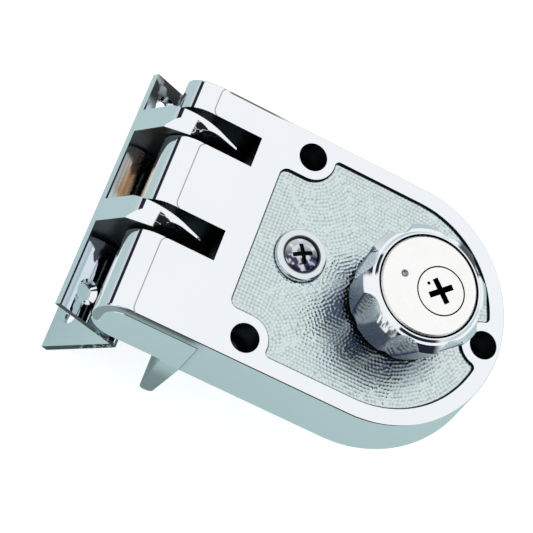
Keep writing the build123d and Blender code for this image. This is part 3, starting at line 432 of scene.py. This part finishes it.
# Colours
WHITE = rgb(1.0, 1.0, 1.0)
# Black of the painted shade and painted dark reflections
PAINTED_SHADE_BLACK = rgb(0.010, 0.011, 0.013)
CHROME = rgb(0.88, 0.912, 0.945)
# Warm colour of a painted reflection on the strike
WARM_PAINTED_REFLECTION = rgb(0.55, 0.36, 0.20)
KNOB_SHADE = rgb(0.12, 0.15, 0.26)
# Copies of the chrome painted darker and greener as shade, for the screw head, its cup and the
# stippled panel
HEAD_CHROME = rgb(0.80, 0.84, 0.88)
HEAD_SHADE = rgb(0.05, 0.045, 0.10)
CUP_CHROME = rgb(0.74, 0.80, 0.83)
STIPPLE_CHROME = rgb(0.68, 0.79, 0.785)
STIPPLE_SHADE = rgb(0.20, 0.25, 0.27)
FACE_SATIN = rgb(0.985, 0.98, 0.975)
PIN_SATIN = rgb(0.36, 0.39, 0.42)
STEEL = rgb(0.56, 0.57, 0.59)
DARK_STEEL = rgb(0.05, 0.052, 0.06)
BRASS = rgb(0.76, 0.60, 0.33)

# Noise in the finishes: scale, detail and roughness. Scratches have a scale along each axis
SMEARS = (90.0, 4.0, 0.6)
SCRATCH_SCALES = (40.0, 40.0, 900.0)
SCRATCHES = (3.0, 0.7)
CLOUDS = (35.0, 2.0)
WAVES = (60.0, 1.0, 0.4)
WAVE_HEIGHT = 0.00002
WAVE_STRENGTH = 0.5
GRAIN = (900.0, 3.0, 0.6)
GRAIN_HEIGHT = 0.000008
GRAIN_STRENGTH = 0.6
STAINS = (200.0, 3.0)

# Roughness that paint adds
SHADE_DULLING = 0.12
HOLLOW_DULLING = 0.45
SATIN_DULLING = 0.3


def darkened(n, pos, masks, tone, rough, dulling):
    """Colour and roughness with the masked places painted dark, as painted shade or painted dark
    reflection, and dull.
    """
    if not masks:
        return tone, rough
    painted_dark = n.any(*[maker(n, pos) for maker in masks])
    return n.mix(painted_dark, tone, PAINTED_SHADE_BLACK), n.math("ADD", rough, n.math("MULTIPLY", painted_dark, dulling))


def finish_metal(n, surface, tone, rough, normal):
    inputs = {"Base Color": tone, "Metallic": 1.0, "Roughness": rough, "Normal": normal}
    n.put(surface, n.made("ShaderNodeBsdfPrincipled", inputs))


def chrome(name, color=CHROME, roughness=0.04, masks=(), shade=None, shade_mask=None):
    """Mirror plating: faint waviness, wipe marks and fine scratches."""
    material, n, surface = new_material(name)
    pos = n.position()
    wiped = n.step(n.noise(pos, *SMEARS), (0.35, 0.75), (roughness * 0.6, roughness * 1.8))
    scratches = n.streaks(pos, SCRATCH_SCALES, *SCRATCHES)
    scratched = n.step(scratches, (0.66, 0.78), (0.0, roughness * 1.5))
    rough = n.math("ADD", wiped, scratched)
    tone = n.mix(n.noise(pos, *CLOUDS), dimmed(color, 0.965), color)
    # Painted shade or painted reflection in the shade colour, where the shade mask is on
    if shade_mask:
        shaded = shade_mask(n, pos)
        tone = n.mix(shaded, tone, shade)
        rough = n.math("ADD", rough, n.math("MULTIPLY", shaded, SHADE_DULLING))
    tone, rough = darkened(n, pos, masks, tone, rough, HOLLOW_DULLING)
    finish_metal(n, surface, tone, rough, n.bump(n.noise(pos, *WAVES), WAVE_HEIGHT, WAVE_STRENGTH))
    return material


def brushed(name, color, roughness, masks=()):
    """Satin or turned metal with a fine grain and slight stains."""
    material, n, surface = new_material(name)
    pos = n.position()
    grain = n.noise(pos, *GRAIN)
    tone = n.mix(n.noise(pos, *STAINS), dimmed(color, 0.95), color)
    rough = n.step(grain, (0.3, 0.7), (roughness * 0.85, roughness * 1.2))
    tone, rough = darkened(n, pos, masks, tone, rough, SATIN_DULLING)
    finish_metal(n, surface, tone, rough, n.bump(grain, GRAIN_HEIGHT, GRAIN_STRENGTH))
    return material


CASE_MASKS = (inside_windows, inside_holes, on_panel_floor, in_flat_groove,
              by_housing, on_top_edge)
materials = {
    "case_chrome": chrome("case_chrome", masks=CASE_MASKS),
    "housing_chrome": chrome("housing_chrome", masks=(inside_windows, behind_face)),
    "strike_chrome": chrome("strike_chrome", masks=(under_claws, claw_ends, strike_top),
                            shade=WARM_PAINTED_REFLECTION, shade_mask=strike_warm_reflection),
    "knob_chrome": chrome("knob_chrome", masks=(in_knob_bore, on_knob_edge, on_knob_bevel),
                          shade=KNOB_SHADE, shade_mask=on_knob_side),
    "head_chrome": chrome("head_chrome", HEAD_CHROME, 0.06, masks=(in_cross,),
                          shade=HEAD_SHADE, shade_mask=dome_shade),
    "cup_chrome": chrome("cup_chrome", CUP_CHROME, masks=(in_cup,)),
    "stipple_chrome": chrome("stipple_chrome", STIPPLE_CHROME, 0.09, masks=(in_crevices,),
                             shade=STIPPLE_SHADE, shade_mask=below_knob),
    "face_satin": brushed("face_satin", FACE_SATIN, 0.36, (below_knob_face, in_plug_bore)),
    "plug_satin": brushed("plug_satin", FACE_SATIN, 0.36, (below_plug_face,)),
    "pin_satin": brushed("pin_satin", PIN_SATIN, 0.25),
    "steel": brushed("steel", STEEL, 0.3),
    "dark_steel": brushed("dark_steel", DARK_STEEL, 0.35),
    "brass": brushed("brass", BRASS, 0.28),
}
nodes_of = {
    "case_chrome": "case_cover",
    "housing_chrome": "bolt_housing",
    "strike_chrome": "strike_plate",
    "knob_chrome": "knob_grip",
    "head_chrome": "panel_screw",
    "cup_chrome": "panel_screw_cup",
    "face_satin": "lock_cylinder",
    "plug_satin": "key_plug",
    "pin_satin": "face_pin",
    "steel": "bolt_carriage upper_prong lower_prong back_plate back_plate_screws housing_screws "
             "guide_post detent_spring hub_screw spindle_screws cam_screw plug_clip pin_springs "
             "crank_roller bush_ring",
    "dark_steel": "knob_bush knob_spindle",
    "brass": "hub_cam lock_cam driver_pins key_pins pin_covers",
}
for material_name, names in nodes_of.items():
    for node_name in names.split():
        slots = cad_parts[node_name].data.materials
        slots.clear()
        slots.append(materials[material_name])


# Stippled panel: lengths in millimetres, and the sizes of pebbles as factors
STIPPLE_RIGHT = 26.0
STIPPLE_GAP = 0.34
RING_GAP = 0.06
PITCH = 0.98
ROW_SPACING = 0.9 * PITCH
LOOSE_SPACING = 0.68 * PITCH
ROW_JITTER = 0.06
FIRST_ROW = 0.85
ROW_COUNT = int(30.0 / PITCH)
ROW_SORT_X = -12.0
SCAN_STEP = 0.2
SCAN_INSET = 0.4
ROW_HALF_WIDTH = SCAN_STEP * 0.75
PEBBLE_SIZES = (0.8, 1.15)
PEBBLE_HEIGHT = 0.16
PEBBLE_REACH = 0.64
SHEET_CELL = 0.24
SHEET_EDGE = 0.04 - PANEL_FRONT
SHEET_GROUND = 0.06
SHEET_RAMP = 0.2
NUDGE = 0.01
EDGE_STEPS = 3
LEAST_STEEPNESS = 0.01


def rounded(a, b, radius):
    """Lesser of two distances, with the corner between them rounded."""
    least = min(a, b)
    if least > radius:
        return least
    return radius - math.hypot(max(radius - a, 0.0), max(radius - b, 0.0))


def panel_inset(x, z):
    """Distance from the border of the sunk panel, more than zero inside."""
    outline = PANEL_HALF - math.hypot(max(x - END_ARC_X, 0.0), z)
    notch_x, notch_z = HOLES[0]
    notch = math.hypot(max(x - notch_x, 0.0), abs(z) - notch_z) - NOTCH_RADIUS
    if x < notch_x and abs(z) > notch_z:
        notch = -NOTCH_RADIUS
    side = x - PANEL_LEFT
    left = rounded(side, notch, PANEL_CORNER) if x < notch_x else min(side, notch)
    corner = rounded(outline, left, NOTCH_FILLET)
    end = math.hypot(x - HOLES[2][0], z) - NOTCH_RADIUS
    return rounded(corner, end, NOTCH_FILLET)


def stipple_inset(x, z):
    """Distance from the edge of the stippled field, which stops at the cup and flange too."""
    return min(panel_inset(x, z) - STIPPLE_GAP,
               math.hypot(x - CUP_X, z) - CUP_RADIUS - RING_GAP,
               math.hypot(x, z) - FLANGE_RADIUS - RING_GAP)


def onto_edge(x, z):
    """Place moved to the edge of the stippled field."""
    for _ in range(EDGE_STEPS):
        here = stipple_inset(x, z)
        slope_x = (stipple_inset(x + NUDGE, z) - stipple_inset(x - NUDGE, z)) / (2 * NUDGE)
        slope_z = (stipple_inset(x, z + NUDGE) - stipple_inset(x, z - NUDGE)) / (2 * NUDGE)
        steepness = slope_x * slope_x + slope_z * slope_z
        if steepness > LEAST_STEEPNESS:
            x -= slope_x * here / steepness
            z -= slope_z * here / steepness
    return x, z


def panel_places():
    """Places on the panel, in a fine grid, each with its distance from the border."""
    places = []
    x = PANEL_LEFT
    while x < STIPPLE_RIGHT:
        z = -PANEL_HALF
        while z < PANEL_HALF:
            inset = panel_inset(x, z)
            if inset > SCAN_INSET:
                places.append((x, z, inset))
            z += SCAN_STEP
        x += SCAN_STEP
    return places


def stipple_centres():
    """Pebbles in rows along the border, with loose ones in the gaps between the rows."""
    centres = []
    grid = {}

    def cell_of(x, z):
        return int(x // PITCH), int(z // PITCH)

    def free(x, z, least):
        column, row = cell_of(x, z)
        for i in (column - 1, column, column + 1):
            for k in (row - 1, row, row + 1):
                if any(math.hypot(x - px, z - pz) < least for px, pz in grid.get((i, k), ())):
                    return False
        return True

    def add(x, z):
        centres.append((x, z))
        grid.setdefault(cell_of(x, z), []).append((x, z))

    places = panel_places()
    for row in range(ROW_COUNT):
        target = FIRST_ROW + row * PITCH
        band = [place for place in places if abs(place[2] - target) < ROW_HALF_WIDTH]
        band.sort(key=lambda place: math.atan2(place[1], place[0] - ROW_SORT_X))
        for x, z, _ in band:
            if free(x, z, ROW_SPACING):
                add(x + random.uniform(-ROW_JITTER, ROW_JITTER),
                    z + random.uniform(-ROW_JITTER, ROW_JITTER))
    random.shuffle(places)
    for x, z, _ in places:
        if free(x, z, LOOSE_SPACING):
            add(x, z)
    return centres


def build_stipple():
    """Sheet of pebbles over the panel floor, whose edge goes down into it."""
    centres = stipple_centres()
    tree = KDTree(len(centres))
    for index, (x, z) in enumerate(centres):
        tree.insert((x, z, 0.0), index)
    tree.balance()
    sizes = [random.uniform(*PEBBLE_SIZES) for _ in centres]
    columns = int((STIPPLE_RIGHT - PANEL_LEFT) / SHEET_CELL)
    rows = int(2 * PANEL_HALF / SHEET_CELL)

    def place_of(i, k):
        return PANEL_LEFT + i * SHEET_CELL, k * SHEET_CELL - PANEL_HALF

    insets = {(i, k): stipple_inset(*place_of(i, k))
              for i in range(columns + 1) for k in range(rows + 1)}
    verts, faces, numbers = [], [], {}

    def vertex(i, k):
        if (i, k) in numbers:
            return numbers[i, k]
        x, z = place_of(i, k)
        y = SHEET_EDGE
        if insets[i, k] < 0.0:
            x, z = onto_edge(x, z)
        else:
            _, index, distance = tree.find((x, z, 0.0))
            lift = max(0.0, 1.0 - (distance / PEBBLE_REACH) ** 2) * PEBBLE_HEIGHT * sizes[index]
            y -= min(1.0, insets[i, k] / SHEET_RAMP) * (SHEET_GROUND + lift)
        numbers[i, k] = len(verts)
        verts.append((x * MM, y * MM, z * MM))
        return numbers[i, k]

    for i in range(columns):
        for k in range(rows):
            corners = [(i, k), (i + 1, k), (i + 1, k + 1), (i, k + 1)]
            if sum(insets[corner] > 0.0 for corner in corners) >= 2:
                faces.append([vertex(*corner) for corner in corners])
    mesh = bpy.data.meshes.new("stipple_panel")
    mesh.from_pydata(verts, [], faces)
    mesh.update()
    for polygon in mesh.polygons:
        polygon.use_smooth = True
    piece = bpy.data.objects.new("stipple_panel", mesh)
    bpy.context.scene.collection.objects.link(piece)
    mesh.materials.append(materials["stipple_chrome"])
    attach(piece, "case")


build_stipple()

# Floor behind the lock, which lies on its back
FLOOR_Y = 0.0345
FLOOR_HALF = 0.9
FLOOR_COLOR = rgb(0.455, 0.525, 0.53)
FLOOR_GLOW = rgb(0.56, 0.95, 0.92)
GLOW_TO_CAMERA = 0.80
GLOW_TO_METAL = 0.21


def build_floor():
    """Floor that the camera sees as white with the lock's shadow on it, clear from behind."""
    signs = ((-1, -1), (1, -1), (1, 1), (-1, 1))
    corners = [(x * FLOOR_HALF, FLOOR_Y, z * FLOOR_HALF) for x, z in signs]
    mesh = bpy.data.meshes.new("floor")
    mesh.from_pydata(corners, [], [(0, 1, 2, 3)])
    floor = bpy.data.objects.new("floor", mesh)
    bpy.context.scene.collection.objects.link(floor)
    material, n, surface = new_material("floor")
    ray = n.new("ShaderNodeLightPath").outputs
    to_metal = n.math("ADD", ray["Is Glossy Ray"], ray["Is Transmission Ray"])
    glow = n.made("ShaderNodeEmission", {
        "Color": n.mix(ray["Is Camera Ray"], FLOOR_GLOW, WHITE),
        "Strength": n.weighted(ray["Is Camera Ray"], GLOW_TO_CAMERA, to_metal, GLOW_TO_METAL)})
    diffuse = n.made("ShaderNodeBsdfDiffuse", {"Color": FLOOR_COLOR})
    lit = n.made("ShaderNodeAddShader", {0: diffuse, 1: glow})
    clear = n.made("ShaderNodeBsdfTransparent", {})
    from_behind = n.new("ShaderNodeNewGeometry").outputs["Backfacing"]
    n.put(surface, n.made("ShaderNodeMixShader", {0: from_behind, 1: lit, 2: clear}))
    mesh.materials.append(material)


build_floor()

# World: a white tent, greyer behind the lock, dark low down on the camera's side and in a strip on
# the left. Its ramps run over the components of a unit direction
TENT_GREY = rgb(0.62, 0.68, 0.70)
NAVY = rgb(0.016, 0.020, 0.042)
OPENING_MIDDLE = (-0.08, -0.885, -0.46)
PATCH_MIDDLE = (-0.285, -0.53, -0.799)


def build_world():
    """Tent for the metal to reflect. The camera itself sees plain white."""
    world = bpy.data.worlds.new("studio")
    bpy.context.scene.world = world
    world.use_nodes = True
    n = Nodes(world.node_tree)
    surface = n.new("ShaderNodeOutputWorld").inputs[0]
    direction = n.new("ShaderNodeTexCoord").outputs["Generated"]
    dx, dy, dz = n.xyz(direction)
    tent = n.mix(n.step(dy, (-0.30, -0.02)), WHITE, TENT_GREY)
    opening = n.all(n.step(n.dot(direction, OPENING_MIDDLE), (0.80, 0.86)),
                    n.step(dz, (-0.50, -0.44), FALLING))
    lower = n.all(n.step(dz, (-0.62, -0.45), FALLING), n.step(dx, (-0.26, -0.16)),
                  n.step(dy, (-0.05, 0.0), FALLING))
    strip = n.all(n.step(dx, (-0.80, -0.76), FALLING), n.step(dy, (-0.36, -0.33)),
                  n.step(dy, (-0.15, -0.12), FALLING))
    off_patch = n.step(n.dot(direction, PATCH_MIDDLE), (0.962, 0.975), FALLING)
    tent = n.mix(n.all(n.any(opening, lower, strip), off_patch), tent, NAVY)
    lit = n.made("ShaderNodeBackground", {"Color": tent, "Strength": 1.0})
    plain = n.made("ShaderNodeBackground", {"Color": WHITE, "Strength": 1.0})
    to_camera = n.new("ShaderNodeLightPath").outputs["Is Camera Ray"]
    n.put(surface, n.made("ShaderNodeMixShader", {0: to_camera, 1: lit, 2: plain}))


build_world()
